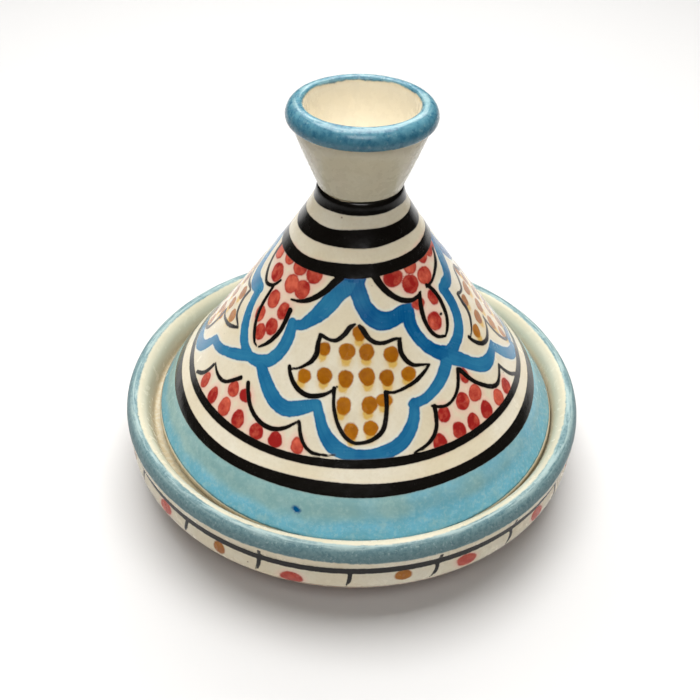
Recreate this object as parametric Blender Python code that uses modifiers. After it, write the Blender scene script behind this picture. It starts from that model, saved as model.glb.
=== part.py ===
"""Tagine: a shallow glazed dish with a tall conical lid and a cup-shaped knob.

Metres, +Z up.  The origin is the middle of the foot ring, on the surface the dish stands
on.  Every piece is turned about the Z axis, from a profile drawn in the XZ plane.  Each
profile starts and ends on the axis and runs down the outer side of its piece.
"""

import math

import bpy

# ---------------------------------------------------------------- driving dimensions
DISH_RADIUS = 0.100          # outside of the rolled rim
DISH_HEIGHT = 0.042          # crest of the rolled rim
RIM_RISE = 0.0070            # crest of the rim above its widest point
RIM_CREST_RADIUS = 0.0961    # ring along which the rim is highest
GROOVE_RADIUS = 0.0982       # bottom of the shallow groove under the rim
BAND_RADIUS = 0.0988         # painted band round the outside
BAND_TOP = 0.0304
BAND_BOTTOM = 0.0205
FOOT_OUTER_RADIUS = 0.0585   # outer edge of the foot ring's flat
FOOT_INNER_RADIUS = 0.0510
FOOT_RECESS = 0.0026         # height of the hollow inside the foot ring
DISH_FLOOR = 0.0080          # top of the dish's floor, at the middle
SEAT_HEIGHT = 0.0290         # ledge that carries the lid
SEAT_INNER_RADIUS = 0.0800
SEAT_OUTER_RADIUS = 0.0886

PIECE_GAP = 0.0003           # between pieces that rest on each other

BRIM_RADIUS = 0.0876         # outer edge of the lid
BRIM_TOP = 0.0354            # where the cone meets the lid's rounded edge
LID_WALL = 0.0062            # thickness of the cone, measured level
NECK_RADIUS = 0.0168         # neck just under the knob
NECK_TOP = 0.1386            # flat that the knob is luted to
NECK_FLAT_RADIUS = 0.0162

KNOB_BASE_RADIUS = 0.0165
KNOB_RADIUS = 0.0280         # outside of the knob's lip
LIP_CREST_RADIUS = 0.0228    # ring along which the lip is highest
LIP_RISE = 0.0056            # crest of the lip above its widest point
KNOB_TOP = 0.1716            # crest of the lip
KNOB_FLOOR = 0.1446          # bottom of the cup inside

LARGE_STEPS = 64             # facets round the dish and the lid
SMALL_STEPS = 48             # facets round the knob
MERGE = 0.00001


# ---------------------------------------------------------------- helpers
def smooth(points, steps):
    """Points on a smooth curve (Catmull-Rom) through the given (radius, height) pairs."""
    first = tuple(2 * a - b for a, b in zip(points[0], points[1]))
    last = tuple(2 * a - b for a, b in zip(points[-1], points[-2]))
    knots = [first, *points, last]
    curve = []
    for p0, p1, p2, p3 in zip(knots, knots[1:], knots[2:], knots[3:]):
        for step in range(steps):
            t = step / steps
            curve.append(tuple(
                0.5 * (2 * b + (c - a) * t + (2 * a - 5 * b + 4 * c - d) * t ** 2
                       + (3 * b - a - 3 * c + d) * t ** 3)
                for a, b, c, d in zip(p0, p1, p2, p3)))
    curve.append(points[-1])
    return curve


def arc(centre, radii, start, end, steps):
    """Points on an elliptical arc, its angles in degrees from +X towards +Z."""
    angles = (math.radians(start + (end - start) * i / steps) for i in range(steps + 1))
    return [(centre[0] + radii[0] * math.cos(a), centre[1] + radii[1] * math.sin(a))
            for a in angles]


def glaze(name, colour, roughness):
    material = bpy.data.materials.new(name)
    material.use_nodes = True
    shader = material.node_tree.nodes["Principled BSDF"]
    shader.inputs["Base Color"].default_value = (*colour, 1.0)
    shader.inputs["Roughness"].default_value = roughness
    shader.inputs["Metallic"].default_value = 0.0
    return material


def turned(name, profile, steps, material, collection):
    """A solid turned from a profile of (radius, height) pairs."""
    mesh = bpy.data.meshes.new(name)
    edges = [(i, i + 1) for i in range(len(profile) - 1)]
    mesh.from_pydata([(radius, 0.0, height) for radius, height in profile], edges, [])
    mesh.materials.append(material)
    piece = bpy.data.objects.new(name, mesh)
    collection.objects.link(piece)
    screw = piece.modifiers.new("Turn", "SCREW")
    screw.axis = "Z"
    screw.steps = steps
    screw.render_steps = steps
    screw.use_merge_vertices = True
    screw.merge_threshold = MERGE
    screw.use_smooth_shade = True
    return piece


# ---------------------------------------------------------------- profiles
def dish_profile():
    """Bowl, ledge for the lid, rolled rim, painted band, underside and foot ring."""
    bowl = smooth([(0.0, DISH_FLOOR), (0.040, DISH_FLOOR + 0.0010),
                   (0.062, DISH_FLOOR + 0.0055), (0.0740, 0.0200),
                   (SEAT_INNER_RADIUS - 0.0012, SEAT_HEIGHT - 0.0010)], 3)
    seat = [(SEAT_INNER_RADIUS, SEAT_HEIGHT), (SEAT_OUTER_RADIUS, SEAT_HEIGHT)]
    gallery = smooth([(SEAT_OUTER_RADIUS + 0.0007, SEAT_HEIGHT + 0.0012), (0.0898, 0.0335),
                      (0.0907, 0.0368), (0.0919, 0.0392), (0.0935, 0.0410)], 2)
    widest = DISH_HEIGHT - RIM_RISE
    rim = (arc((RIM_CREST_RADIUS, widest), (DISH_RADIUS - RIM_CREST_RADIUS, RIM_RISE), 105, 0, 7)
           + arc((GROOVE_RADIUS, widest), (DISH_RADIUS - GROOVE_RADIUS, 0.0035), -30, -85, 2))
    band = [(BAND_RADIUS - 0.0003, BAND_TOP), (BAND_RADIUS, BAND_BOTTOM)]
    underside = smooth([(BAND_RADIUS - 0.0008, BAND_BOTTOM - 0.0013), (0.0900, 0.0144),
                        (0.0760, 0.0076), (0.0650, 0.0040),
                        (FOOT_OUTER_RADIUS + 0.0016, 0.0030)], 2)
    foot = [(FOOT_OUTER_RADIUS + 0.0006, 0.0006), (FOOT_OUTER_RADIUS, 0.0),
            (FOOT_INNER_RADIUS, 0.0), (FOOT_INNER_RADIUS - 0.0012, FOOT_RECESS),
            (0.0, FOOT_RECESS)]
    return bowl + seat + gallery + rim + band + underside + foot


def cone_side(steps):
    """The lid's outer side, from the neck under the knob down to the brim."""
    return smooth([(NECK_RADIUS, NECK_TOP - 0.0010), (0.0179, 0.1337), (0.0203, 0.1292),
                   (0.0233, 0.1242), (0.0270, 0.1186), (0.0295, 0.1146), (0.0389, 0.1010),
                   (0.0559, 0.0770), (0.0718, 0.0560), (0.0789, 0.0477),
                   (BRIM_RADIUS - 0.0009, BRIM_TOP)], steps)


def lid_profile():
    """Flat top for the knob, cone, rounded brim and the hollow inside."""
    top = [(0.0, NECK_TOP), (NECK_FLAT_RADIUS, NECK_TOP)]
    side = cone_side(2)
    seat = SEAT_HEIGHT + PIECE_GAP
    brim = [(BRIM_RADIUS - 0.0002, BRIM_TOP - 0.0013), (BRIM_RADIUS, BRIM_TOP - 0.0030),
            (BRIM_RADIUS - 0.0006, seat + 0.0008), (BRIM_RADIUS - 0.0018, seat),
            (BRIM_RADIUS - LID_WALL, seat)]
    wall = [(radius - LID_WALL, height) for radius, height in reversed(side)
            if seat + 0.008 < height < NECK_TOP - 0.010]
    crown = smooth([wall[-1], (0.0120, 0.1312), (0.0050, 0.1338), (0.0, 0.1342)], 2)
    return top + side + brim + wall[:-1] + crown


def knob_profile():
    """Cup inside, rolled lip, flaring funnel and the base luted to the neck."""
    widest = KNOB_TOP - LIP_RISE
    inner = LIP_CREST_RADIUS - 0.0021
    outer = KNOB_RADIUS - 0.0028
    cup = smooth([(0.0, KNOB_FLOOR), (0.0090, KNOB_FLOOR + 0.0010), (0.0152, 0.1492),
                  (0.0186, 0.1550), (0.0200, 0.1610), (inner - 0.0001, widest)], 2)
    lip = (arc((LIP_CREST_RADIUS, widest), (LIP_CREST_RADIUS - inner, LIP_RISE), 165, 90, 3)
           + arc((LIP_CREST_RADIUS, widest), (KNOB_RADIUS - LIP_CREST_RADIUS, LIP_RISE), 75, 0, 5)
           + arc((outer, widest), (KNOB_RADIUS - outer, 0.0023), -30, -80, 2))
    funnel = smooth([(0.0253, 0.1634), (0.0246, 0.1600), (0.0219, 0.1527), (0.0184, 0.1440),
                     (0.0169, 0.1404), (KNOB_BASE_RADIUS, NECK_TOP + PIECE_GAP)], 2)
    return cup + lip + funnel + [(0.0, NECK_TOP + PIECE_GAP)]


# ---------------------------------------------------------------- model
def clear_scene():
    for item in list(bpy.data.objects):
        bpy.data.objects.remove(item, do_unlink=True)


def build():
    clear_scene()
    collection = bpy.data.collections.new("Tagine")
    bpy.context.scene.collection.children.link(collection)
    cream = glaze("cream_glaze", (0.72, 0.66, 0.52), 0.25)
    rim_blue = glaze("blue_glaze", (0.10, 0.30, 0.42), 0.22)
    lid_cream = glaze("painted_cream_glaze", (0.70, 0.64, 0.50), 0.25)
    turned("dish", dish_profile(), LARGE_STEPS, cream, collection)
    turned("lid_cone", lid_profile(), LARGE_STEPS, lid_cream, collection)
    turned("knob_cup", knob_profile(), SMALL_STEPS, rim_blue, collection)


build()
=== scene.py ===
"""The looks of the tagine: fine turned surfaces, their brushwork, glazes, floor, light and camera.

Metres, +Z up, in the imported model's frame.  The brushwork is written as a potter would lay it
out: azimuth in degrees from the front (positive towards +X) and height in millimetres.
"""

import math
import random

import bpy
import numpy as np
from mathutils import Matrix, Vector


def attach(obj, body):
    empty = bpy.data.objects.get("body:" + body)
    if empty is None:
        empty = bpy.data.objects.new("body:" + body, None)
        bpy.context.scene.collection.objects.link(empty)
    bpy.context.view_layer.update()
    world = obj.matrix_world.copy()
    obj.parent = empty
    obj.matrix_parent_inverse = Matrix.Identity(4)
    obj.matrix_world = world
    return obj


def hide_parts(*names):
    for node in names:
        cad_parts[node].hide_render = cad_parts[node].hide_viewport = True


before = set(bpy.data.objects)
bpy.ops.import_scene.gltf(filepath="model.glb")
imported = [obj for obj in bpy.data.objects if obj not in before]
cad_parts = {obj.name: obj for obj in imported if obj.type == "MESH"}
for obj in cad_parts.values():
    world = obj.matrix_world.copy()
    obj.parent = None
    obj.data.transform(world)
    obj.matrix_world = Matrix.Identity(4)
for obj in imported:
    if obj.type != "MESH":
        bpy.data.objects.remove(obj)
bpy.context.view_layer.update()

MM = 0.001
FAR = 9.0                    # distance in mm given to a surface with no paint near it
REACH = 5.0                  # how far in mm from a brush stroke its distance is worked out
STROKE_STEP = 0.5            # mm between the points of a brush stroke

LID_COLUMNS = 720
DISH_COLUMNS = 720
KNOB_COLUMNS = 300
LID_OFFSET = 0.0015          # the lid sits a little to the right in its seat
LID_LEAN = 0.007             # and leans back towards the left by this much per metre of height

rng = random.Random(11)


# ---------------------------------------------------------------- profiles from the CAD nodes
def meridian(node):
    """The node's turned profile in mm, (radius, height), from its upper end to its lower end.

    Its edges in the XZ plane are walked along; a level face has no such edge, so the walk
    steps straight over it, to the nearest point of the same height.
    """
    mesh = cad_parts[node].data
    keys = {}
    for vertex in mesh.vertices:
        if abs(vertex.co.y) < 1e-6 and vertex.co.x > -1e-6:
            keys[vertex.index] = (round(vertex.co.x / MM, 2), round(vertex.co.z / MM, 2))
    links = {key: set() for key in keys.values()}
    for edge in mesh.edges:
        a, b = (keys.get(i) for i in edge.vertices)
        if a and b and a != b:
            links[a].add(b)
            links[b].add(a)
    ends = [key for key, others in links.items() if key[0] == 0.0 or len(others) < 2]
    here = max(ends, key=lambda key: (key[1], -key[0]))
    path = [here]
    while True:
        onward = [key for key in links[here] if key not in path]
        if not onward:
            onward = [key for key in links if key not in path and abs(key[1] - here[1]) < 0.02]
        if not onward:
            break
        here = min(onward, key=lambda key: math.dist(key, here))
        path.append(here)
    if path[0][0] > 0.0:
        path.insert(0, (0.0, path[0][1]))
    if path[-1][0] > 0.0:
        path.append((0.0, path[-1][1]))
    return np.array(path)


def turn_angle(a, b, c):
    """The angle in degrees by which the way from a through b to c turns."""
    into, out = b - a, c - b
    cosine = np.dot(into, out) / (np.linalg.norm(into) * np.linalg.norm(out))
    return math.degrees(math.acos(max(-1.0, min(1.0, cosine))))


def rounded(points, corner=36.0, step=0.1, softness=0.35):
    """A dense, smooth copy of a faceted profile, its corners eased by softness mm."""
    lengths = np.linalg.norm(np.diff(points, axis=0), axis=1)
    slopes = np.diff(points, axis=0) / lengths[:, None]
    dense = []
    for i in range(len(points) - 1):
        start, end, h = points[i], points[i + 1], lengths[i]
        lead = trail = slopes[i]
        if i > 0 and turn_angle(points[i - 1], start, end) < corner:
            lead = (slopes[i - 1] * h + slopes[i] * lengths[i - 1]) / (h + lengths[i - 1])
        if i + 2 < len(points) and turn_angle(start, end, points[i + 2]) < corner:
            trail = (slopes[i] * lengths[i + 1] + slopes[i + 1] * h) / (h + lengths[i + 1])
        t = np.linspace(0.0, 1.0, max(2, int(h / step)), endpoint=False)[:, None]
        dense.append((2 * t ** 3 - 3 * t ** 2 + 1) * start + (t ** 3 - 2 * t ** 2 + t) * h * lead
                     + (3 * t ** 2 - 2 * t ** 3) * end + (t ** 3 - t ** 2) * h * trail)
    dense = np.vstack([*dense, points[-1:]])
    reach = int(3 * softness / step)
    kernel = np.exp(-0.5 * (np.arange(-reach, reach + 1) * step / softness) ** 2)
    kernel /= kernel.sum()
    padded = np.vstack([np.repeat(dense[:1], reach, 0), dense, np.repeat(dense[-1:], reach, 0)])
    eased = np.column_stack([np.convolve(padded[:, k], kernel, "valid") for k in (0, 1)])
    eased[0], eased[-1] = points[0], points[-1]
    return eased


def spaced(dense, spacing):
    """The points of a dense profile that lie spacing(points) mm apart, with its two ends."""
    steps = np.linalg.norm(np.diff(dense, axis=0), axis=1)
    rows = np.concatenate([[0.0], np.cumsum(steps / spacing(dense)[1:])])
    count = int(round(rows[-1]))
    picks = np.interp(np.arange(count + 1) * rows[-1] / count, rows, np.arange(len(dense)))
    return np.column_stack([np.interp(picks, np.arange(len(dense)), dense[:, k]) for k in (0, 1)])


# ---------------------------------------------------------------- turned surfaces
class Turned:
    """A fine turned surface, with the coordinates that paint is laid out in.

    Each vertex has its radius and height in mm, its azimuth in degrees from the front, and
    along, the length in mm down the profile.  fields holds each paint's distances.
    """

    def __init__(self, profile, columns):
        self.profile = profile
        self.columns = columns
        steps = np.linalg.norm(np.diff(profile, axis=0), axis=1)
        self.lengths = np.concatenate([[0.0], np.cumsum(steps)])
        inner = profile[1:-1]
        angles = np.arange(columns) * 2 * math.pi / columns
        self.radius = np.repeat(inner[:, 0], columns)
        self.height = np.repeat(inner[:, 1], columns)
        self.along = np.repeat(self.lengths[1:-1], columns)
        self.angle = np.tile(angles, len(inner))
        self.azimuth = (np.degrees(self.angle) + 90.0 + 180.0) % 360.0 - 180.0
        self.fields = {}

    def field(self, name, start=FAR):
        return self.fields.setdefault(name, np.full(len(self.radius), start))

    def length_at(self, radius, height):
        """The length down the profile of its point nearest to (radius, height)."""
        gaps = np.hypot(self.profile[:, 0] - radius, self.profile[:, 1] - height)
        return self.lengths[int(np.argmin(gaps))]

    def build(self, name, place):
        """The mesh object with its paint fields, its vertices moved by place(x, y, z), in mm."""
        x, y, z = place(self.radius * np.cos(self.angle), self.radius * np.sin(self.angle), self.height)
        ends = [place(*(np.array([v]) for v in (0.0, 0.0, self.profile[k, 1]))) for k in (0, -1)]
        xyz = np.column_stack([x, y, z])
        poles = [np.ravel(end) for end in ends]
        vertices = np.vstack([xyz, poles]) * MM
        count, rows = self.columns, len(self.radius) // self.columns
        grid = np.arange(rows * count).reshape(rows, count)
        turned = np.roll(grid, -1, axis=1)
        quads = np.stack([grid[:-1], grid[1:], turned[1:], turned[:-1]], axis=-1).reshape(-1, 4)
        top, bottom = rows * count, rows * count + 1
        caps = [(top, int(a), int(b)) for a, b in zip(grid[0], turned[0])]
        caps += [(bottom, int(b), int(a)) for a, b in zip(grid[-1], turned[-1])]
        mesh = bpy.data.meshes.new(name)
        mesh.from_pydata(vertices.tolist(), [], quads.tolist() + caps)
        mesh.shade_smooth()
        for key, values in self.fields.items():
            attribute = mesh.attributes.new(key, "FLOAT", "POINT")
            with_poles = np.append(values, [values[0], values[-1]])
            attribute.data.foreach_set("value", with_poles.astype(np.float32))
        piece = bpy.data.objects.new(name, mesh)
        bpy.context.scene.collection.objects.link(piece)
        return piece


def smooth_path(points, scale=0.9):
    """Points about STROKE_STEP mm apart on a Catmull-Rom curve; scale is mm for one degree."""
    points = np.array(points, float)
    knots = np.vstack([2 * points[0] - points[1], points, 2 * points[-1] - points[-2]])
    path = []
    for p0, p1, p2, p3 in zip(knots, knots[1:], knots[2:], knots[3:]):
        length = math.hypot((p2[0] - p1[0]) * scale, p2[1] - p1[1])
        t = np.linspace(0.0, 1.0, max(2, int(length / STROKE_STEP)), endpoint=False)[:, None]
        path.append(0.5 * (2 * p1 + (p2 - p0) * t + (2 * p0 - 5 * p1 + 4 * p2 - p3) * t ** 2
                           + (3 * p1 - p0 - 3 * p2 + p3) * t ** 3))
    return np.vstack([*path, points[-1:]])


class Brush:
    """Lays strokes, dots and rings on the outer side of a turned surface as distances in mm."""

    def __init__(self, surface, first, last):
        """first and last are the lengths down the profile between which the paint lies."""
        self.surface = surface
        self.on = np.flatnonzero((surface.along >= first) & (surface.along <= last))
        span = (surface.lengths >= first) & (surface.lengths <= last)
        self.heights = surface.profile[span, 1][::-1]
        self.depths = surface.lengths[span][::-1]

    def depth(self, height):
        """The length down the profile at a height."""
        return np.interp(height, self.heights, self.depths)

    def near(self, azimuths, depths, margin):
        """Vertices near a box of azimuths and depths, and the middle azimuth of that box."""
        surface, on = self.surface, self.on
        middle = (min(azimuths) + max(azimuths)) / 2
        turn = (surface.azimuth[on] - middle + 180.0) % 360.0 - 180.0
        slack = np.degrees(margin / np.maximum(surface.radius[on], 1.0))
        inside = ((np.abs(turn) < (max(azimuths) - min(azimuths)) / 2 + slack)
                  & (surface.along[on] > min(depths) - margin)
                  & (surface.along[on] < max(depths) + margin))
        return on[inside], turn[inside] + middle

    def merge(self, name, picks, distances, tone):
        """Keeps the nearer of the old and the new paint, and its tone."""
        field = self.surface.field(name)
        tones = self.surface.field(name + "_tone", 0.5)
        nearer = distances < field[picks]
        field[picks[nearer]] = distances[nearer]
        tones[picks[nearer]] = tone if np.isscalar(tone) else tone[nearer]

    def stroke(self, name, points, tone=0.5):
        """A brush stroke through (azimuth, height, width), the width in mm."""
        path = smooth_path(points)
        azimuths, depths, widths = path[:, 0], self.depth(path[:, 1]), np.maximum(path[:, 2], 0.2)
        picks, turn = self.near(azimuths, depths, REACH + widths.max() / 2)
        if not len(picks):
            return
        scale = np.radians(self.surface.radius[picks])
        across = (turn[:, None] - azimuths) * scale[:, None]
        down = self.surface.along[picks][:, None] - depths
        gaps = np.hypot(across, down) - widths / 2
        best = np.argmin(gaps, axis=1)
        each = np.arange(len(picks))
        self.merge(name, picks, gaps[each, best], tone)
        ahead = np.gradient(azimuths)[best] * scale, np.gradient(depths)[best]
        length = np.maximum(np.hypot(*ahead), 1e-6)
        side = (across[each, best] * ahead[1] - down[each, best] * ahead[0]) / length
        self.surface.field(name + "_across", 0.0)[picks] = side
        self.surface.field(name + "_run", 0.0)[picks] = best * STROKE_STEP

    def dot(self, name, azimuth, height, width, tall, tone=0.5, point=0.0, lean=0.0):
        """A dab of the brush; point narrows its upper end and lean turns it, in degrees."""
        depth = self.depth(height)
        picks, turn = self.near([azimuth], [depth], REACH + max(width, tall) / 2)
        across = (turn - azimuth) * np.radians(self.surface.radius[picks])
        up = depth - self.surface.along[picks]
        cosine, sine = math.cos(math.radians(lean)), math.sin(math.radians(lean))
        across, up = across * cosine + up * sine, up * cosine - across * sine
        narrow = 1.0 - point * np.clip(up / tall + 0.2, 0.0, 0.7)
        ratio = np.hypot(across / (width / 2 * narrow), up / (tall / 2))
        self.merge(name, picks, (ratio - 1.0) * min(width, tall) / 2, tone)

    def ring(self, name, top, bottom, tilt, sway, phase):
        """A band between two heights, higher on the right by tilt mm, swaying by hand."""
        turn = np.radians(self.surface.azimuth[self.on])
        swing = np.sin(3 * turn + phase) + 0.6 * np.sin(7 * turn + 2 * phase)
        lift = tilt * np.sin(turn) + sway * swing
        breadth = 1.0 + 0.5 * sway * np.sin(5 * turn + phase)
        along = self.surface.along[self.on]
        half = (self.depth(bottom) - self.depth(top)) / 2 * breadth
        middle = self.depth((top + bottom) / 2 + lift)
        self.merge(name, self.on, np.abs(along - middle) - half, 0.5)


# ---------------------------------------------------------------- the lid's brushwork
def moved(points, turn=0.0, lift=0.0, squeeze=1.0):
    """A stroke turned round the lid by turn degrees, lifted, and squeezed about the front."""
    return [(azimuth * squeeze + turn, height + lift, *rest) for azimuth, height, *rest in points]


def levelled(points, turn, squeeze, slant=3.9, tilt=3.0):
    """A front stroke without the front's own slant, carried round to the far side."""
    result = []
    for azimuth, height, width in points:
        there = azimuth * squeeze + turn
        lift = tilt * math.sin(math.radians(there)) - slant * math.sin(math.radians(azimuth))
        result.append((there, height + lift, width))
    return result


# Blue scallops round the front palmette, in (azimuth, height, width).
BLUE_LEFT = [
    (0.50, [(-3, 112.5, 6.0), (-8, 111.5, 7.0), (-13, 109.3, 7.2), (-17, 105.9, 7.0), (-21, 102.7, 6.6),
            (-25.5, 99.6, 5.4), (-30, 96.9, 4.2), (-34.5, 96.0, 3.6)]),
    (0.35, [(-35.8, 96.2, 4.2), (-35.1, 93.0, 5.2), (-35.2, 89.8, 5.4), (-36.8, 85.8, 5.4),
            (-40.2, 82.0, 5.4), (-45.0, 79.9, 5.2), (-49.5, 79.2, 4.6)]),
    (0.50, [(-43.5, 79.5, 5.0), (-39.5, 76.8, 5.8), (-35, 73.7, 6.4), (-30.5, 71.4, 6.5), (-26, 70.5, 6.4),
            (-21.5, 71.7, 6.0), (-17.5, 73.3, 5.0), (-14.6, 74.6, 3.8)]),
    (0.45, [(-14.2, 73.8, 4.0), (-12.6, 70.6, 4.4), (-10.8, 67.0, 5.0), (-8.0, 63.6, 6.2), (-4.5, 61.4, 6.0),
            (0, 60.3, 4.6)]),
]
BLUE_RIGHT = [
    (0.85, [(-1, 112.5, 6.0), (1.2, 109.0, 6.4), (4.0, 105.7, 6.6), (8.0, 102.8, 7.2), (12.5, 101.2, 7.4),
            (17, 100.9, 6.8), (22, 101.4, 6.2), (27, 102.4, 6.0), (31.3, 103.0, 4.4)]),
    (0.80, [(30.7, 102.4, 5.0), (29.6, 98.6, 5.4), (31.3, 94.6, 5.2), (34.6, 90.6, 5.2), (39.0, 87.2, 5.6),
            (44.4, 84.8, 6.4)]),
    (0.45, [(43, 83.0, 6.0), (38.5, 79.6, 5.6), (34, 77.0, 5.0), (28.5, 74.9, 4.3), (24.3, 74.2, 4.2),
            (22.2, 74.0, 4.0)]),
    (0.55, [(22.8, 74.4, 3.8), (21.8, 70.4, 4.8), (19.6, 66.8, 5.4), (15.8, 63.2, 5.8), (11, 61.2, 5.6),
            (5.5, 60.4, 4.6), (0, 60.3, 4.4)]),
]
# Blue beyond the front's two crossings, towards the motifs at the sides.
BLUE_FAR_LEFT = [
    (0.40, [(-48, 79.0, 4.2), (-54.5, 80.0, 4.6), (-60, 82.4, 5.2), (-65, 86.2, 5.4), (-69, 90.8, 5.2),
            (-70.8, 95.4, 5.0), (-70.6, 97.6, 4.4)]),
    (0.25, [(-70.6, 97.4, 4.8), (-75, 96.8, 6.4), (-80, 96.4, 7.0), (-86, 97.2, 7.0), (-92, 101.0, 6.8),
            (-98, 110.0, 6.4)]),
    (0.35, [(-51, 79.2, 4.6), (-57, 76.8, 4.8), (-63, 74.4, 4.4), (-70, 71.8, 4.2), (-77, 70.6, 4.4)]),
    (0.30, [(-77.5, 70.6, 4.2), (-80, 66.6, 5.0), (-83, 62.9, 5.6), (-88, 60.6, 6.0), (-95, 60.0, 5.4),
            (-101, 60.0, 4.6)]),
]
BLUE_FAR_RIGHT = [
    (0.60, [(45, 84.5, 6.0), (51, 86.0, 5.6), (56.5, 88.2, 5.8), (60.8, 91.6, 5.8), (62.9, 95.8, 5.8),
            (62.8, 100.0, 5.6), (62.0, 102.8, 5.0)]),
    (0.45, [(61.5, 102.8, 5.0), (66, 103.2, 5.4), (71, 103.2, 5.6), (76, 104.8, 6.2), (81, 108.4, 6.8),
            (87, 112.4, 7.0), (92, 114.0, 6.0)]),
    (0.50, [(46, 83.2, 6.6), (51.5, 79.6, 5.8), (56, 76.3, 5.8), (61.5, 73.5, 6.4), (67, 72.9, 6.0),
            (71.5, 73.6, 4.6), (74, 74.4, 3.6)]),
    (0.35, [(73.5, 74.2, 3.8), (76.2, 70.6, 4.8), (79.8, 66.4, 5.4), (84.5, 62.6, 5.8), (91, 60.4, 5.0)]),
]

# Black outline of the palmette, in (azimuth, height, width).
PALMETTE = [
    [(-1.2, 100.3, 0.9), (-3.8, 99.2, 1.7), (-6.5, 96.9, 1.8), (-10, 95.0, 1.5), (-14, 94.8, 1.2),
     (-17.5, 95.6, 1.4), (-19.0, 95.8, 1.0)],
    [(-18.7, 95.6, 1.5), (-18.9, 92.5, 1.8), (-18.6, 90.0, 2.0), (-19.9, 87.4, 1.8), (-22.5, 85.4, 1.3),
     (-25.8, 83.6, 0.9), (-29.4, 82.6, 0.8)],
    [(-29.6, 83.2, 1.5), (-28.6, 81.6, 1.6), (-26, 79.1, 1.8), (-22.5, 77.2, 1.9), (-18, 76.4, 1.9),
     (-13, 77.5, 1.6), (-10, 79.0, 1.0), (-7.6, 80.7, 0.7)],
    [(-8.6, 80.2, 1.4), (-8.3, 76.4, 1.3), (-7.4, 72.6, 1.4), (-5.6, 68.8, 1.5), (-3.0, 65.6, 1.5),
     (0, 64.0, 1.3), (3.5, 64.2, 1.4), (7, 65.4, 1.7), (9.8, 67.6, 1.8), (11.2, 71.0, 1.7),
     (12.0, 75.0, 1.6), (12.2, 78.8, 1.7)],
    [(12.0, 79.2, 1.3), (15.5, 78.7, 1.1), (20, 79.4, 1.3), (25, 80.6, 1.6), (29.4, 82.3, 1.5),
     (33.6, 84.2, 0.8)],
    [(33.2, 84.4, 0.7), (29.4, 85.1, 1.1), (25.8, 85.8, 1.5), (22.8, 88.0, 1.9), (21.3, 90.8, 1.9),
     (21.6, 93.6, 1.7), (22.4, 94.8, 0.9)],
    [(22.6, 94.7, 0.8), (19, 94.9, 1.2), (14, 94.3, 1.5), (9.4, 94.6, 1.6), (5.8, 96.2, 1.8),
     (3.4, 98.4, 1.9), (1.4, 99.8, 1.3)],
]
# Ochre dabs inside it: azimuth, height, width, tallness, tone.
PALMETTE_DABS = [
    (1.4, 97.6, 4.6, 5.4, 0.45), (-15.4, 91.7, 4.2, 4.8, 0.55), (-4.5, 91.8, 5.6, 6.0, 0.45),
    (4.8, 91.8, 5.2, 6.0, 0.55), (16.4, 90.4, 5.4, 5.8, 0.55), (-22.0, 81.9, 5.0, 5.2, 0.35),
    (-13.4, 83.5, 5.4, 5.8, 0.55), (-4.2, 83.4, 5.4, 6.2, 0.50), (4.8, 84.2, 5.6, 6.4, 0.50),
    (13.2, 83.4, 5.2, 5.8, 0.55), (23.0, 83.4, 5.6, 5.2, 0.40), (-4.3, 75.0, 5.0, 6.6, 0.40),
    (5.4, 75.5, 5.4, 6.4, 0.45), (11.3, 76.6, 6.0, 4.6, 0.30), (-1.2, 67.4, 4.8, 6.4, 0.40),
    (5.6, 68.4, 5.2, 5.4, 0.35),
]

# Black outlines of the two red pendants that hang beside the palmette.
PENDANT_LEFT = [
    [(-83, 114, 1.6), (-83.2, 110.5, 1.6), (-80.4, 106.2, 1.7), (-75.6, 103.0, 1.8), (-70, 101.0, 1.5),
     (-65, 101.2, 1.4), (-60.5, 102.8, 1.3), (-57.2, 105.4, 1.0)],
    [(-12.5, 114.2, 2.6), (-16.5, 112.3, 2.6), (-21, 109.4, 2.3), (-26, 106.8, 2.1), (-31, 104.8, 1.8),
     (-36, 103.5, 1.3), (-42.3, 102.6, 0.7)],
    [(-60.4, 102.4, 1.2), (-60.8, 98.4, 1.6), (-60.6, 93.8, 1.8), (-58.4, 89.4, 1.8), (-55, 86.0, 1.7),
     (-52.2, 84.0, 1.2), (-50, 83.4, 0.6)],
    [(-40, 99.4, 2.2), (-40.2, 95.8, 2.0), (-41, 92.0, 1.9), (-43, 88.6, 1.8), (-45.6, 85.8, 1.4),
     (-48.6, 83.6, 0.8)],
]
PENDANT_RIGHT = [
    [(12, 115.3, 3.0), (15, 112.6, 2.6), (19, 110.0, 2.3), (24, 107.6, 2.1), (29, 106.0, 2.0),
     (34.5, 105.2, 1.7), (39, 105.5, 1.3), (43, 106.4, 0.7)],
    [(77, 114.0, 1.6), (74, 112.2, 1.6), (70, 110.7, 1.9), (65, 109.4, 1.6), (60, 108.2, 1.3),
     (55, 107.2, 1.1), (49, 106.8, 0.9)],
    [(42.0, 106.2, 1.2), (40, 103.4, 1.9), (38.8, 100.2, 2.0), (38.8, 97.0, 1.7), (40.2, 93.6, 1.6),
     (43, 91.2, 1.4), (47.4, 90.0, 0.9)],
    [(49.6, 107.3, 1.4), (52.6, 105.2, 1.7), (54.6, 102.0, 1.9), (54.8, 98.4, 2.0), (53.8, 95.0, 1.8),
     (51, 92.0, 1.5), (47.6, 90.0, 0.8)],
]
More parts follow.
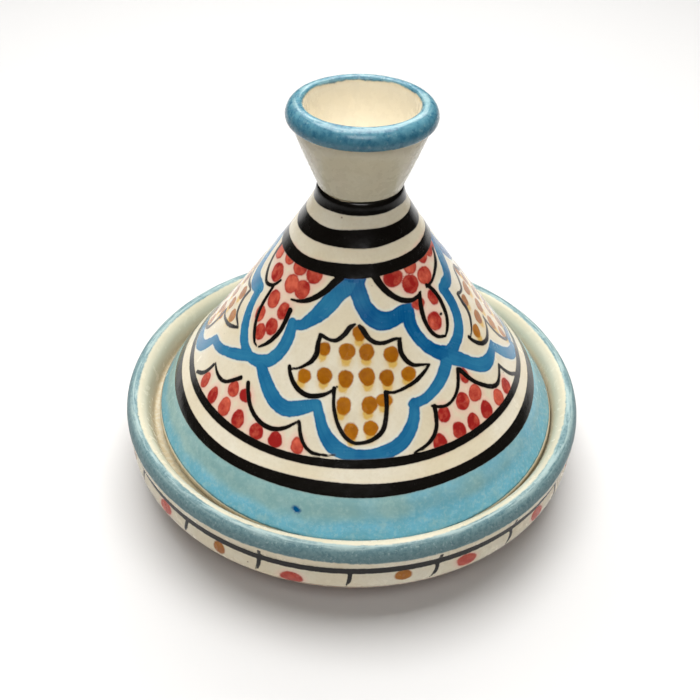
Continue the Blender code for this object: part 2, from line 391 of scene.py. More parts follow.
PENDANT_LEFT_DABS = [
    (-77, 111.2, 7.0, 6.4, 0.30), (-61, 113.6, 6.8, 6.4, 0.35), (-46.5, 113.0, 7.0, 6.6, 0.45),
    (-32.8, 113.0, 7.0, 7.4, 0.40), (-64.6, 106.3, 8.0, 7.6, 0.40), (-47.3, 106.9, 7.0, 7.4, 0.50),
    (-37.6, 107.0, 6.6, 7.4, 0.45), (-54.6, 99.2, 6.6, 7.4, 0.50), (-44.2, 98.0, 5.4, 7.0, 0.55),
    (-58.4, 92.2, 5.6, 6.6, 0.40), (-47.0, 91.6, 6.2, 6.8, 0.45), (-52.2, 87.8, 6.0, 6.6, 0.50),
]
PENDANT_RIGHT_DABS = [
    (25.6, 113.6, 8.0, 6.8, 0.75), (42, 115.4, 6.2, 6.4, 0.40), (58.5, 116.2, 6.6, 6.6, 0.50),
    (69.5, 116.2, 6.6, 7.0, 0.40), (37.4, 110.0, 7.4, 7.0, 0.60), (51.8, 110.2, 7.6, 6.8, 0.40),
    (38.4, 103.4, 5.8, 4.8, 0.50), (50.6, 102.9, 5.0, 6.2, 0.55), (44.8, 96.0, 6.8, 7.4, 0.35),
    (78, 116.0, 5.0, 6.0, 0.40),
]
# Black outlines and red dabs of the half palmettes that stand on the lower ring.
FOOT_LEFT = [
    [(-66.2, 67.6, 0.9), (-63, 66.6, 1.3), (-59, 66.2, 1.7), (-55.5, 67.0, 1.5), (-52.5, 69.2, 1.6),
     (-49.4, 71.8, 1.8)],
    [(-66.6, 66.6, 1.6), (-67.6, 63.6, 1.7), (-69.6, 60.8, 1.8), (-73, 58.6, 1.4)],
    [(-45, 71.9, 2.0), (-43, 69.4, 1.8), (-40.4, 66.8, 1.8), (-37, 64.6, 1.8), (-32.5, 63.1, 1.9),
     (-28, 63.2, 1.8), (-24, 64.9, 1.4), (-19.8, 68.2, 0.7)],
    [(-19.6, 67.6, 1.2), (-18.4, 64.4, 1.5), (-16.4, 61.4, 1.4), (-13.4, 59.6, 1.4), (-9, 59.5, 0.9),
     (-6, 60.0, 0.5)],
]
FOOT_RIGHT = [
    [(46.4, 78.6, 1.7), (44.4, 75.4, 1.7), (42, 72.8, 1.5), (39, 71.0, 1.3), (35.4, 70.2, 1.3),
     (32, 70.8, 1.1), (29.4, 71.8, 0.8)],
    [(30.4, 71.4, 1.9), (30.0, 68.4, 1.8), (29, 65.2, 1.7), (27, 62.6, 1.7), (24, 60.8, 1.4),
     (19.5, 59.4, 0.9)],
    [(47.4, 78.0, 1.9), (49.6, 74.6, 1.9), (52, 71.6, 1.7), (55.5, 68.6, 1.8), (59, 66.1, 1.9),
     (62.5, 65.1, 1.9), (66, 66.2, 1.6), (69.6, 68.2, 1.5)],
    [(69.6, 68.0, 1.4), (71.2, 64.6, 1.6), (73.4, 61.6, 1.6), (76.4, 59.2, 1.5)],
]
FOOT_LEFT_DABS = [
    (-50.0, 67.3, 6.6, 6.4, 0.50), (-43.6, 68.2, 6.6, 5.4, 0.85), (-65.4, 61.0, 5.8, 7.2, 0.35),
    (-57.4, 60.4, 6.0, 7.4, 0.65), (-49.8, 60.8, 6.8, 8.0, 0.45), (-42.3, 60.5, 6.6, 7.6, 0.50),
    (-33.8, 60.2, 6.6, 6.6, 0.65), (-26.4, 60.2, 6.2, 6.4, 0.90), (-18.6, 60.6, 5.2, 6.4, 0.30),
]
FOOT_RIGHT_DABS = [
    (33.2, 68.0, 6.0, 6.4, 0.80), (42.6, 69.0, 7.0, 7.0, 0.60), (49.6, 68.8, 7.4, 6.8, 0.50),
    (48.2, 75.6, 5.0, 6.2, 0.60), (28.8, 60.4, 6.2, 6.6, 0.80), (37.0, 61.4, 6.4, 7.0, 0.70),
    (43.5, 61.4, 6.4, 7.4, 0.75), (51, 62.0, 6.8, 7.4, 0.65), (59.2, 61.8, 7.0, 7.0, 0.50),
    (66.2, 61.6, 6.6, 7.2, 0.45),
]
# Where each set is laid: turn, lift and squeeze.
PALMETTE_PLACES = [(0, 0, 1.0), (91, 1, 1.0), (175, 0, 0.92), (259, -2, 1.0)]
LEFT_PLACES = [(0, 0, 1.0), (181, 2, 0.82)]
RIGHT_PLACES = [(0, 0, 1.0), (170, -2, 0.82)]
# The front's scallops that are laid again on the far side, each with its turn and squeeze.
SCALLOP_PLACES = [(BLUE_LEFT + BLUE_RIGHT, 175, 0.92), (BLUE_RIGHT, 91, 0.92), (BLUE_LEFT, 259, 0.86)]
# The black rings: upper and lower height, tilt, sway and phase.
LID_RINGS = [
    (138.6, 134.4, 0.3, 0.12, 0.4), (129.2, 123.6, 1.1, 0.12, 1.1), (118.6, 114.4, 1.5, 0.15, 2.0),
    (58.6, 56.1, 1.0, 0.15, 0.7), (51.6, 48.0, 0.8, 0.25, 1.9),
]
SKIRT_TOP = 49.8             # where the turquoise skirt starts, just under the lowest ring
SKIRT_TILT = 0.8             # how much higher it is on the right


def paint_lid(surface):
    """Rings and skirt, then the blue scallops, the palmettes and the red half motifs."""
    shoulder = surface.length_at(15.8, 138.6)
    brim = surface.length_at(*surface.profile[np.argmin(surface.profile[:, 1])])
    brush = Brush(surface, shoulder, brim)
    for top, bottom, tilt, sway, phase in LID_RINGS:
        brush.ring("black", top, bottom, tilt, sway, phase)
    around = np.radians(surface.azimuth)
    corner = surface.length_at(86.7, 35.4) + 2.6 * np.clip(np.cos(around), 0.0, 1.0) ** 2
    upper = brush.depth(SKIRT_TOP + SKIRT_TILT * np.sin(around))
    surface.field("skirt")[:] = np.maximum(upper - surface.along, surface.along - corner)
    surface.field("hem")[:] = surface.along - corner

    for tone, points in BLUE_LEFT + BLUE_RIGHT + BLUE_FAR_LEFT + BLUE_FAR_RIGHT:
        brush.stroke("blue", points, tone)
    brush.dot("blue", -3.0, 114.4, 9.0, 8.6, 0.95)
    brush.dot("spot", -15.0, 41.8, 3.4, 2.8)
    for scallops, turn, squeeze in SCALLOP_PLACES:
        for tone, points in scallops:
            brush.stroke("blue", levelled(points, turn, squeeze), tone)
    for _, turn, _ in SCALLOP_PLACES:
        brush.dot("blue", turn - 2, 113.5, 8.0, 7.0, 0.8)

    for turn, lift, squeeze in PALMETTE_PLACES:
        for points in PALMETTE:
            brush.stroke("black", moved(points, turn, lift, squeeze))
        for azimuth, height, width, tall, tone in PALMETTE_DABS:
            place = azimuth * squeeze + turn, height + lift
            brush.dot("ochre", *place, width, tall, tone, -0.15, rng.uniform(-12, 12))
            drip = rng.uniform(-1.0, 0.4)
            brush.dot("drip", place[0] + drip, place[1] - 2.2, width * 0.72, tall * 0.9, tone)
    sets = [(PENDANT_LEFT, PENDANT_LEFT_DABS, LEFT_PLACES, 0.0),
            (FOOT_LEFT, FOOT_LEFT_DABS, LEFT_PLACES, 0.3),
            (PENDANT_RIGHT, PENDANT_RIGHT_DABS, RIGHT_PLACES, 0.0),
            (FOOT_RIGHT, FOOT_RIGHT_DABS, RIGHT_PLACES, 0.3)]
    for outlines, dabs, places, point in sets:
        for turn, lift, squeeze in places:
            for points in outlines:
                brush.stroke("black", moved(points, turn, lift, squeeze))
            for azimuth, height, width, tall, tone in dabs:
                place = azimuth * squeeze + turn, height + lift
                depth = tone + rng.uniform(-0.2, 0.25)
                brush.dot("red", *place, width, tall, depth, point, rng.uniform(-10, 10))
    brush.dot("black", 50.6, 96.8, 1.4, 1.0)


# ---------------------------------------------------------------- the dish's and knob's brushwork
# Dabs on the dish's band: paint, azimuth, height, width, tallness, tone.
BAND_DABS = [
    ("red", -48, 25.5, 8.0, 6.5, 0.4), ("ochre", -30, 25.6, 5.4, 6.6, 0.5),
    ("red", -12.2, 23.4, 9.4, 6.2, 0.6), ("ochre", 12.4, 26.4, 7.0, 5.0, 0.6),
    ("red", 27.5, 25.4, 9.0, 6.0, 0.5), ("red", 50, 25.6, 8.0, 6.4, 0.4),
]
BAND_TICKS = 18
FAR_SIDE = range(70, 300, 20)  # azimuths of the dabs that follow on round the far side


def paint_dish(surface):
    """The blue rim, and the band round the outside with its lines, ticks and dabs."""
    crest = surface.length_at(96.1, 42.0)
    lip = surface.length_at(94.2, 41.6)
    blue_end = surface.length_at(99.95, 35.8)
    under = surface.length_at(90.0, 14.4)
    seat = surface.length_at(88.6, 29.0)
    blue = surface.field("blue")
    turn = np.radians(surface.azimuth)
    sway = 0.35 * np.sin(4 * turn + 0.5) + 0.25 * np.sin(9 * turn)
    front = 1.7 * np.clip(np.cos(turn), 0.0, 1.0) ** 2
    blue[:] = np.maximum(lip + front + sway - surface.along, surface.along - blue_end - 0.5 * sway)
    surface.field("crest")[:] = surface.along - crest
    surface.field("seam")[:] = np.abs(surface.along - seat)
    surface.field("bare")[:] = under + 2.0 * sway - surface.along
    brush = Brush(surface, blue_end, under)
    brush.ring("black", 31.0, 28.4, 0.0, 0.12, 0.3)
    brush.ring("edge", 21.0, 19.4, 0.0, 0.15, 1.3)
    for index in range(BAND_TICKS):
        azimuth = index * 360.0 / BAND_TICKS + rng.uniform(-0.8, 0.8)
        start = rng.choice((34.6, 30.0))
        curl = rng.choice((-1.6, -0.8, 0.0))
        brush.stroke("black", [(azimuth + 0.4, start, 1.4), (azimuth, 28.0, 1.7),
                               (azimuth + 0.3 * curl, 25.0, 1.6), (azimuth + curl, 22.4, 0.8)])
    for paint, azimuth, height, width, tall, tone in BAND_DABS:
        brush.dot(paint, azimuth, height, width, tall, tone, 0.0, rng.uniform(-12, 12))
    for count, azimuth in enumerate(FAR_SIDE):
        paint = ("red", "ochre")[count % 2]
        place = azimuth + rng.uniform(-2.5, 2.5), 25.4 + rng.uniform(-1.2, 0.6)
        brush.dot(paint, *place, rng.uniform(6.5, 8.5), rng.uniform(5.4, 6.6), rng.uniform(0.4, 0.6))


def paint_knob(surface):
    """The blue lip, from just inside the cup to the underside of the roll."""
    inside = surface.length_at(21.4, 170.2)
    outside = surface.length_at(26.4, 163.4)
    crest = surface.length_at(22.9, 171.6)
    turn = np.radians(surface.azimuth)
    sway = 0.25 * np.sin(3 * turn + 1.0) + 0.2 * np.sin(8 * turn)
    surface.field("blue")[:] = np.maximum(inside + sway - surface.along,
                                          surface.along - outside - sway)
    surface.field("crest")[:] = surface.along - crest


# ---------------------------------------------------------------- node building
class Tree:
    """Short calls that add nodes to a material and give back their output sockets."""

    def __init__(self, name):
        self.material = bpy.data.materials.new(name)
        self.material.use_nodes = True
        self.tree = self.material.node_tree
        self.shader = self.tree.nodes["Principled BSDF"]
        self.where = self.add("ShaderNodeTexCoord").outputs["Object"]

    def add(self, kind, inputs=None, **settings):
        node = self.tree.nodes.new(kind)
        for key, value in settings.items():
            setattr(node, key, value)
        for key, value in (inputs or {}).items():
            self.plug(node.inputs[key], value)
        return node

    def plug(self, socket, value):
        if isinstance(value, bpy.types.NodeSocket):
            self.tree.links.new(value, socket)
        elif isinstance(value, tuple) and len(value) == 3 and socket.type == "RGBA":
            socket.default_value = (*value, 1.0)
        else:
            socket.default_value = value

    def math(self, operation, a, b=0.0, c=0.0, clamp=False):
        inputs = {0: a, 1: b, 2: c}
        return self.add("ShaderNodeMath", inputs, operation=operation, use_clamp=clamp).outputs[0]

    def field(self, name):
        return self.add("ShaderNodeAttribute", attribute_name=name).outputs["Fac"]

    def noise(self, size, detail=3.0, roughness=0.55, where=None):
        """Noise from 0 to 1 whose features are about size mm across."""
        inputs = {"Vector": where or self.where, "Scale": 1.0 / (size * MM), "Detail": detail,
                  "Roughness": roughness}
        return self.add("ShaderNodeTexNoise", inputs).outputs["Fac"]

    def ramp(self, value, low, high, to_low=0.0, to_high=1.0):
        """Eases from to_low to to_high while value goes from low to high."""
        inputs = {0: value, 1: low, 2: high, 3: to_low, 4: to_high}
        return self.add("ShaderNodeMapRange", inputs, interpolation_type="SMOOTHSTEP").outputs[0]

    def mix(self, factor, a, b):
        node = self.add("ShaderNodeMix", data_type="RGBA")
        self.plug(node.inputs[0], factor)
        self.plug(node.inputs[6], a)
        self.plug(node.inputs[7], b)
        return node.outputs[2]

    def painted(self, name, soft=0.25, ragged=0.5, size=2.2, spread=0.0):
        """1 where the paint lies and 0 elsewhere; ragged and spread move its edge, in mm."""
        wobble = self.math("MULTIPLY_ADD", self.noise(size, 4.0), ragged, -0.5 * ragged - spread)
        return self.ramp(self.math("ADD", self.field(name), wobble), -soft, soft, 1.0, 0.0)

    def halo(self, name, width, strength):
        """Strength at the paint's edge, fading out over width mm."""
        return self.ramp(self.field(name), 0.0, width, strength, 0.0)

    def bump(self, height, distance, normal=None):
        """A bumped normal; distance is in metres."""
        inputs = {"Height": height, "Distance": distance, "Strength": 1.0}
        if normal:
            inputs["Normal"] = normal
        return self.add("ShaderNodeBump", inputs).outputs["Normal"]


# Glaze and clay colours, linear RGB.  The two rims are base, dark and pale; dark also gives the painted
# shade below a crest, pale the wear and painted highlight along it.
CREAM = (0.70, 0.61, 0.43)
CREAM_DARK = (0.60, 0.50, 0.33)
CREAM_PALE = (0.76, 0.70, 0.56)
BROWN = (0.16, 0.07, 0.03)
BLACK = (0.006, 0.005, 0.004)
BLUE_PALE = (0.036, 0.22, 0.365)
BLUE_DEEP = (0.001, 0.08, 0.225)
RED_PALE = (0.66, 0.12, 0.065)
RED_DEEP = (0.30, 0.006, 0.006)
PINK = (0.78, 0.44, 0.35)
RED_EDGE = (0.33, 0.008, 0.012)
OCHRE_PALE = (0.50, 0.18, 0.004)
OCHRE_DEEP = (0.20, 0.046, 0.001)
YELLOW = (0.62, 0.37, 0.05)
BLUE_HALO = (0.66, 0.74, 0.70)
TURQUOISE = (0.28, 0.46, 0.445)
TURQUOISE_BLUE = (0.14, 0.42, 0.56)
TURQUOISE_PALE = (0.34, 0.52, 0.50)
TURQUOISE_DARK = (0.11, 0.29, 0.33)
DISH_RIM = (0.145, 0.24, 0.25), (0.085, 0.165, 0.185), (0.40, 0.50, 0.47)
KNOB_RIM = (0.09, 0.24, 0.30), (0.025, 0.12, 0.19), (0.34, 0.50, 0.50)
# The next four are painted light and shade: olive for painted shade at the seat between lid and dish, a
# paler cream for painted light in the knob's cup, darker creams for painted shade under the knob's funnel
# and inside the dish.
OLIVE_SHADE = (0.40, 0.30, 0.16)
CUP_LIGHT = (0.80, 0.74, 0.61)
FUNNEL_SHADE = (0.46, 0.42, 0.30)
GALLERY_SHADE = (0.49, 0.455, 0.335)
HEM = (0.05, 0.10, 0.09)
TERRACOTTA = (0.36, 0.13, 0.06)
TERRACOTTA_DARK = (0.20, 0.07, 0.035)


def cream_glaze(tree):
    """Uneven cream tin glaze with fine grain and a few iron specks."""
    colour = tree.mix(tree.ramp(tree.noise(38, 3), 0.35, 0.7), CREAM, CREAM_PALE)
    colour = tree.mix(tree.ramp(tree.noise(9, 4), 0.5, 0.85, 0.0, 0.5), colour, CREAM_DARK)
    colour = tree.mix(tree.ramp(tree.noise(1.2, 2), 0.4, 0.75, 0.0, 0.22), colour, CREAM_DARK)
    cells = tree.add("ShaderNodeTexVoronoi", {"Vector": tree.where, "Scale": 1.0 / (7.0 * MM)})
    speck = tree.ramp(cells.outputs["Distance"], 0.035, 0.075, 1.0, 0.0)
    rare = tree.ramp(tree.noise(13, 1), 0.56, 0.6)
    return tree.mix(tree.math("MULTIPLY", tree.math("MULTIPLY", speck, rare), 0.7), colour, BROWN)


def glaze_surface(tree, colour, relief, roughness=0.22, coat=0.3):
    """Joins a colour and the paint's relief to a glossy, slightly rippled glaze."""
    tree.plug(tree.shader.inputs["Base Color"], colour)
    wear = tree.ramp(tree.noise(4.0, 4), 0.35, 0.75, -0.04, 0.07)
    tree.plug(tree.shader.inputs["Roughness"], tree.math("ADD", wear, roughness))
    tree.plug(tree.shader.inputs["Coat Weight"], coat)
    tree.plug(tree.shader.inputs["Coat Roughness"], 0.06)
    tree.plug(tree.shader.inputs["Specular IOR Level"], 0.25)
    ripple = tree.bump(tree.noise(11, 3), 0.00035)
    pits = tree.ramp(tree.noise(0.9, 2), 0.66, 0.8, 1.0, 0.0)
    fine = tree.bump(tree.math("MULTIPLY_ADD", tree.noise(1.6, 3), 0.4, pits), 0.00006, ripple)
    tree.plug(tree.shader.inputs["Normal"], tree.bump(relief, 0.00012, fine))
    return tree.material


def brush_marks(tree, name, width=0.9, length=22.0):
    """Bristle streaks that run along the strokes of a colour."""
    across = tree.math("DIVIDE", tree.field(name + "_across"), width)
    along = tree.math("DIVIDE", tree.field(name + "_run"), length)
    place = tree.add("ShaderNodeCombineXYZ", {0: across, 1: along}).outputs[0]
    return tree.add("ShaderNodeTexNoise", {"Vector": place, "Scale": 1.0, "Detail": 3.0}).outputs["Fac"]


def skirt_colour(tree):
    """Grainy turquoise, bluer towards the brim, with a thin dark hem along its edge."""
    hem = tree.math("ABSOLUTE", tree.field("hem"))
    right = tree.add("ShaderNodeSeparateXYZ", {0: tree.where}).outputs["X"]
    blueness = tree.math("ADD", tree.ramp(hem, 2.0, 12.0, 0.7, 0.0), tree.noise(14, 4))
    blueness = tree.math("ADD", blueness, tree.ramp(right, -0.08, 0.08, -0.15, 0.35))
    teal = tree.mix(tree.ramp(blueness, 0.5, 1.1), TURQUOISE, TURQUOISE_BLUE)
    teal = tree.mix(tree.ramp(tree.noise(1.5, 5, 0.7), 0.46, 0.7, 0.0, 0.5), teal, TURQUOISE_PALE)
    teal = tree.mix(tree.ramp(tree.noise(6, 6, 0.75), 0.40, 0.60, 0.30, 0.0), teal, TURQUOISE_DARK)
    teal = tree.mix(tree.ramp(tree.noise(7, 5, 0.65), 0.5, 0.75, 0.0, 0.5), teal, TURQUOISE_PALE)
    uneven = tree.math("MULTIPLY_ADD", tree.noise(3.0, 3), 1.2, -0.6)
    line = tree.ramp(tree.math("ADD", hem, uneven), 0.3, 1.0, 0.65, 0.0)
    teal = tree.mix(tree.painted("spot", 0.7, 1.8, 1.5), teal, BLUE_DEEP)
    return tree.mix(line, teal, HEM)


def tone_of(tree, name, grain, spread, middle):
    """A paint's tone, varied by grain."""
    varied = tree.math("MULTIPLY_ADD", grain, spread, middle)
    return tree.math("ADD", tree.field(name + "_tone"), varied, clamp=True)


def lid_material():
    tree = Tree("lid_glaze_painted")
    colour = cream_glaze(tree)
    # Painted shade: olive grit on the brim's edge below the skirt, where it sits down in the dish's seat.
    below = tree.math("MULTIPLY", tree.ramp(tree.field("hem"), 0.0, 1.5),
                      tree.ramp(tree.field("hem"), 4.0, 9.0, 1.0, 0.0))
    grit = tree.ramp(tree.noise(2.0, 4), 0.3, 0.6, 0.4, 0.9)
    colour = tree.mix(tree.math("MULTIPLY", grit, below), colour, OLIVE_SHADE)
    colour = tree.mix(tree.painted("skirt", 0.25, 0.6), colour, skirt_colour(tree))

    colour = tree.mix(tree.halo("red", 3.4, 0.6), colour, PINK)
    colour = tree.mix(tree.halo("drip", 2.2, 0.25), colour, YELLOW)
    colour = tree.mix(tree.halo("blue", 1.4, 0.5), colour, BLUE_HALO)

    streaks = brush_marks(tree, "blue")
    depth = tree.math("ADD", tree.field("blue_tone"), tree.math("MULTIPLY_ADD", streaks, 0.6, -0.3))
    depth = tree.math("ADD", depth, tree.math("MULTIPLY_ADD", tree.noise(10, 4), 1.1, -0.58), clamp=True)
    pooled = tree.ramp(tree.field("blue"), -0.9, -0.2, 0.0, 0.22)
    depth = tree.math("ADD", depth, pooled, clamp=True)
    blue = tree.mix(depth, BLUE_PALE, BLUE_DEEP)
    blue_mask = tree.painted("blue", 0.3, 0.8)
    colour = tree.mix(blue_mask, colour, blue)

    grain = tree.noise(2.4, 4)
    red_depth = tone_of(tree, "red", grain, 1.4, -0.70)
    wash = tree.math("MULTIPLY_ADD", tree.noise(5.0, 3), 2.0, -0.90)
    red = tree.mix(tree.math("ADD", red_depth, wash, clamp=True), RED_PALE, RED_DEEP)
    red = tree.mix(tree.ramp(tree.field("red"), -0.7, -0.1, 0.0, 0.5), red, RED_EDGE)
    red_mask = tree.painted("red", 0.35, 0.9, 2.2, 0.15)
    colour = tree.mix(tree.math("MULTIPLY", red_mask, 0.98), colour, red)

    drip = tree.math("MULTIPLY", tree.painted("drip", 0.5, 1.6, 1.8), 0.85)
    colour = tree.mix(drip, colour, YELLOW)
    ochre_depth = tone_of(tree, "ochre", grain, 0.9, -0.4)
    ochre_mask = tree.painted("ochre", 0.35, 1.0, 2.2, 0.25)
    colour = tree.mix(tree.math("MULTIPLY", ochre_mask, 0.99), colour,
                      tree.mix(ochre_depth, OCHRE_PALE, OCHRE_DEEP))

    black_mask = tree.painted("black", 0.16, 0.4, 1.4, 0.08)
    colour = tree.mix(tree.halo("black", 0.7, 0.25), colour, BROWN)
    colour = tree.mix(black_mask, colour, BLACK)
    relief = tree.math("MAXIMUM", tree.math("MULTIPLY", blue_mask, 0.4), black_mask)
    relief = tree.math("MAXIMUM", relief, tree.math("MULTIPLY", red_mask, 0.5))
    return glaze_surface(tree, colour, relief)


def clay(tree):
    """Bare fired earthenware."""
    return tree.mix(tree.ramp(tree.noise(3.0, 5), 0.35, 0.7), TERRACOTTA, TERRACOTTA_DARK)


def lengthwise(tree):
    """Coordinates that stretch a pattern round the piece and pack it down the profile."""
    parts = tree.add("ShaderNodeSeparateXYZ", {0: tree.where})
    round_x = tree.math("MULTIPLY", parts.outputs["X"], 0.09)
    round_y = tree.math("MULTIPLY", parts.outputs["Y"], 0.09)
    down = tree.math("MULTIPLY", tree.field("crest"), MM)
    return tree.add("ShaderNodeCombineXYZ", {0: round_x, 1: round_y, 2: down}).outputs[0]


def rim_colour(tree, under, mask, tones, grit, shade):
    """Mottled blue over a lip, pale along its crest from wear and painted highlight, and darkened below it
    by painted shade; shade sets how dark.
    """
    base, dark, pale = tones
    streak = tree.noise(1.3, 5, 0.6, where=lengthwise(tree))
    blue = tree.mix(tree.ramp(tree.noise(grit, 5, 0.65), 0.34, 0.6), dark, base)
    blue = tree.mix(tree.ramp(tree.noise(4 * grit, 4), 0.45, 0.7, 0.0, 0.45), blue, base)
    blue = tree.mix(tree.ramp(tree.noise(0.7 * grit, 3), 0.56, 0.74, 0.0, 0.5), blue, pale)
    crest = tree.math("ABSOLUTE", tree.field("crest"))
    # Painted shade: darker towards the lower side of the roll.
    low = tree.ramp(tree.field("crest"), 2.5, 7.0, 0.0, shade)
    blue = tree.mix(low, blue, dark)
    # Pale along the crest: partly wear where the glaze thins, partly a painted highlight.
    worn_and_highlight = tree.math("MULTIPLY", tree.ramp(crest, 0.6, 3.4, 0.65, 0.0), tree.ramp(streak, 0.42, 0.6))
    blue = tree.mix(worn_and_highlight, blue, pale)
    return tree.mix(mask, under, blue)


def dish_material():
    tree = Tree("dish_glaze_painted")
    colour = cream_glaze(tree)
    # Painted shade: olive darkening along the seat, where the lid's brim rests in the dish.
    seat_shade = tree.math("MULTIPLY", tree.ramp(tree.field("seam"), 0.8, 3.4, 0.6, 0.0),
                      tree.ramp(tree.noise(1.4, 4), 0.35, 0.6, 0.3, 1.0))
    # Painted shade: the dish's inside, from the crest inwards, is darker cream, most of all further down
    # towards the well.
    inside = tree.ramp(tree.field("crest"), 0.0, 3.0, 0.6, 0.0)
    deeper_shade = tree.ramp(tree.field("crest"), -9.0, -3.0, 0.4, 0.0)
    colour = tree.mix(tree.math("ADD", inside, deeper_shade), colour, GALLERY_SHADE)
    colour = tree.mix(seat_shade, colour, OLIVE_SHADE)
    blue_mask = tree.painted("blue", 0.4, 1.2)
    colour = rim_colour(tree, colour, blue_mask, DISH_RIM, 1.6, 0.3)
    colour = tree.mix(tree.halo("red", 2.0, 0.35), colour, PINK)
    grain = tree.noise(2.4, 4)
    red = tree.mix(tone_of(tree, "red", grain, 1.0, -0.5), RED_PALE, RED_DEEP)
    colour = tree.mix(tree.painted("red", 0.4, 0.9), colour, red)
    ochre = tree.mix(grain, OCHRE_PALE, OCHRE_DEEP)
    colour = tree.mix(tree.painted("ochre", 0.4, 0.9), colour, ochre)
    edge = tree.math("MULTIPLY", tree.painted("edge", 0.4, 1.0), 0.6)
    colour = tree.mix(edge, colour, TERRACOTTA_DARK)
    black_mask = tree.painted("black", 0.2, 0.5, 1.4)
    colour = tree.mix(black_mask, colour, BLACK)
    colour = tree.mix(tree.painted("bare", 0.3, 0.8), colour, clay(tree))
    relief = tree.math("ADD", black_mask, tree.math("MULTIPLY", blue_mask, 0.5))
    matt = tree.math("MULTIPLY_ADD", blue_mask, 0.28, 0.24)
    return glaze_surface(tree, colour, relief, matt, 0.06)


def knob_material():
    tree = Tree("knob_glaze_painted")
    colour = cream_glaze(tree)
    # Painted light: the inside of the cup is made paler cream, standing in for the light that falls into it.
    colour = tree.mix(tree.ramp(tree.field("crest"), -4.0, -2.0, 0.8, 0.0), colour, CUP_LIGHT)
    # Painted shade: the funnel under the lip is made darker cream, where shade falls beneath the knob.
    colour = tree.mix(tree.ramp(tree.field("crest"), 5.0, 9.0, 0.0, 0.6), colour, FUNNEL_SHADE)
    blue_mask = tree.painted("blue", 0.4, 1.0)
    colour = rim_colour(tree, colour, blue_mask, KNOB_RIM, 2.6, 0.5)
    return glaze_surface(tree, colour, blue_mask, 0.28)


# ---------------------------------------------------------------- pieces
def hand_thrown(x, y, z):
    """The slight unevenness of a piece thrown by hand, in mm."""
    angle = np.arctan2(y, x)
    radius = np.hypot(x, y)
    swell = (0.12 * np.sin(2 * angle + 0.04 * z) + 0.08 * np.sin(3 * angle - 0.07 * z + 1.0)
             + 0.05 * np.sin(5 * angle + 0.1 * z + 2.0)) * np.clip(radius / 60.0, 0.0, 1.0)
    factor = 1.0 + swell / np.maximum(radius, 1.0)
    return x * factor, y * factor, z


def seated(x, y, z):
    """The lid and knob as they stand: a little to one side, leaning a touch."""
    x, y, z = hand_thrown(x, y, z)
    return x + LID_OFFSET / MM - LID_LEAN * (z - 35.0), y, z


def piece(name, node, body, slot, columns, spacing, paint, material, place):
    """One visible surface, painted and given to its body and its CAD node; slot is not used."""
    surface = Turned(spaced(rounded(meridian(node)), spacing), columns)
    paint(surface)
    made = surface.build(name, place)
    made.data.materials.append(material)
    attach(made, body)
    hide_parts(node)
    return made


def lid_spacing(points):
    """Fine rows outside, coarse rows in the hollow."""
    inside = np.arange(len(points)) > np.argmin(points[:, 1]) + 40
    return np.where(inside, 2.5, 0.62)


def dish_spacing(points):
    """Fine rows on the rim and the band, coarse rows elsewhere."""
    return np.where(points[:, 0] > 88.0, 0.6, 2.0)


def knob_spacing(points):
    """Fine rows all over."""
    return np.full(len(points), 0.55)


piece("lid_shell", "lid_cone", "lid", "lid_glaze", LID_COLUMNS, lid_spacing,
      paint_lid, lid_material(), seated)
piece("dish_bowl", "dish", "dish", "dish_glaze", DISH_COLUMNS, dish_spacing,
      paint_dish, dish_material(), hand_thrown)
piece("knob_bowl", "knob_cup", "lid", "knob_glaze", KNOB_COLUMNS, knob_spacing,
      paint_knob, knob_material(), seated)


# ---------------------------------------------------------------- stage, light and camera
FLOOR_REACH = 3.0
FLOOR_COLOUR = (0.62, 0.612, 0.602)
CAMERA_PLACE = (0.0, -0.3054, 0.3022)
CAMERA_ANGLES = (38.86, -0.29, 1.51)   # pitch down, pan and roll, in degrees
CAMERA_LENS = 45.9                     # mm, on a 36 mm sensor


def floor():
    """A plain pale floor."""
    size = FLOOR_REACH
    mesh = bpy.data.meshes.new("floor")
    corners = [(-size, -size, 0.0), (size, -size, 0.0), (size, size, 0.0), (-size, size, 0.0)]
    mesh.from_pydata(corners, [], [(0, 1, 2, 3)])
    tree = Tree("floor_paper")
    tree.plug(tree.shader.inputs["Base Color"], FLOOR_COLOUR)
    tree.plug(tree.shader.inputs["Roughness"], 0.85)
    tree.plug(tree.shader.inputs["Specular IOR Level"], 0.1)
    mesh.materials.append(tree.material)
    plane = bpy.data.objects.new("floor", mesh)
    bpy.context.scene.collection.objects.link(plane)


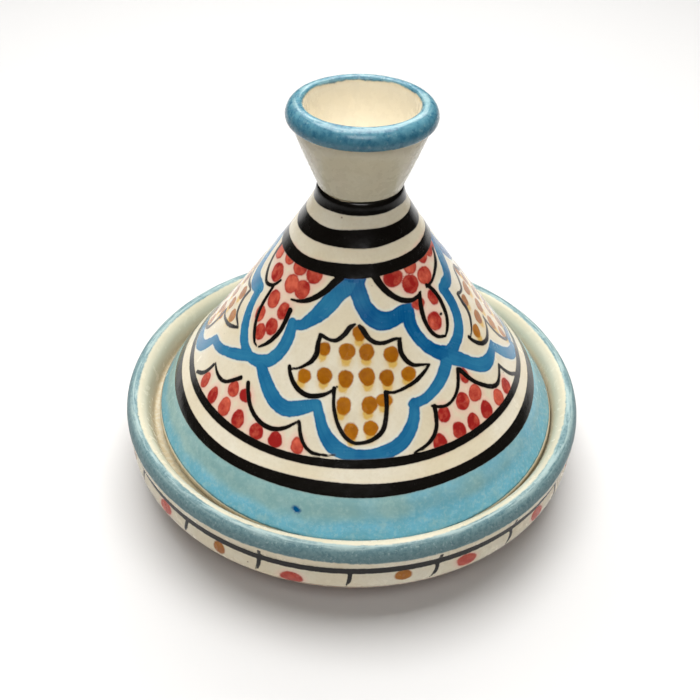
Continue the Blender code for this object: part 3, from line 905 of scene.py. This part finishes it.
def softbox(name, place, target, size, power):
    light = bpy.data.lights.new(name, "AREA")
    light.shape = "RECTANGLE"
    light.size, light.size_y = size
    light.energy = power
    lamp = bpy.data.objects.new(name, light)
    lamp.location = place
    lamp.rotation_euler = (Vector(target) - Vector(place)).to_track_quat("-Z", "Y").to_euler()
    bpy.context.scene.collection.objects.link(lamp)


def studio():
    """Soft light from overhead and behind; the near side of the world stays dark."""
    world = bpy.data.worlds.new("studio")
    world.use_nodes = True
    nodes, links = world.node_tree.nodes, world.node_tree.links
    direction = nodes.new("ShaderNodeTexCoord")
    parts = nodes.new("ShaderNodeSeparateXYZ")
    fade = nodes.new("ShaderNodeMapRange")
    fade.inputs["From Min"].default_value = -0.35
    fade.inputs["From Max"].default_value = 0.55
    fade.inputs["To Min"].default_value = 0.02
    fade.inputs["To Max"].default_value = 0.14
    links.new(direction.outputs["Generated"], parts.inputs[0])
    links.new(parts.outputs["Y"], fade.inputs["Value"])
    links.new(fade.outputs[0], nodes["Background"].inputs["Strength"])
    bpy.context.scene.world = world
    bpy.context.scene.view_settings.view_transform = "Standard"
    middle = (0.0, 0.0, 0.06)
    softbox("overhead", (-0.05, 0.22, 1.20), middle, (1.1, 0.9), 24.0)
    softbox("behind", (0.0, 1.30, 1.20), (0.0, 0.8, 0.0), (1.6, 0.6), 12.0)
    softbox("front_top", (0.0, -0.70, 0.95), middle, (0.6, 0.4), 4.5)


def camera():
    """The camera in front of the pot, looking down at it."""
    pitch, pan, roll = (math.radians(angle) for angle in CAMERA_ANGLES)
    ahead = math.cos(pitch)
    forward = Vector((math.sin(pan) * ahead, math.cos(pan) * ahead, -math.sin(pitch)))
    level = Vector((math.cos(pan), -math.sin(pan), 0.0))
    upright = level.cross(forward)
    right = math.cos(roll) * level + math.sin(roll) * upright
    up = math.cos(roll) * upright - math.sin(roll) * level
    data = bpy.data.cameras.new("camera")
    data.lens = CAMERA_LENS
    data.sensor_width = 36.0
    data.clip_start = 0.01
    view = bpy.data.objects.new("camera", data)
    turn = Matrix((right, up, -forward)).transposed().to_4x4()
    view.matrix_world = Matrix.Translation(CAMERA_PLACE) @ turn
    bpy.context.scene.collection.objects.link(view)
    bpy.context.scene.camera = view


floor()
studio()
camera()
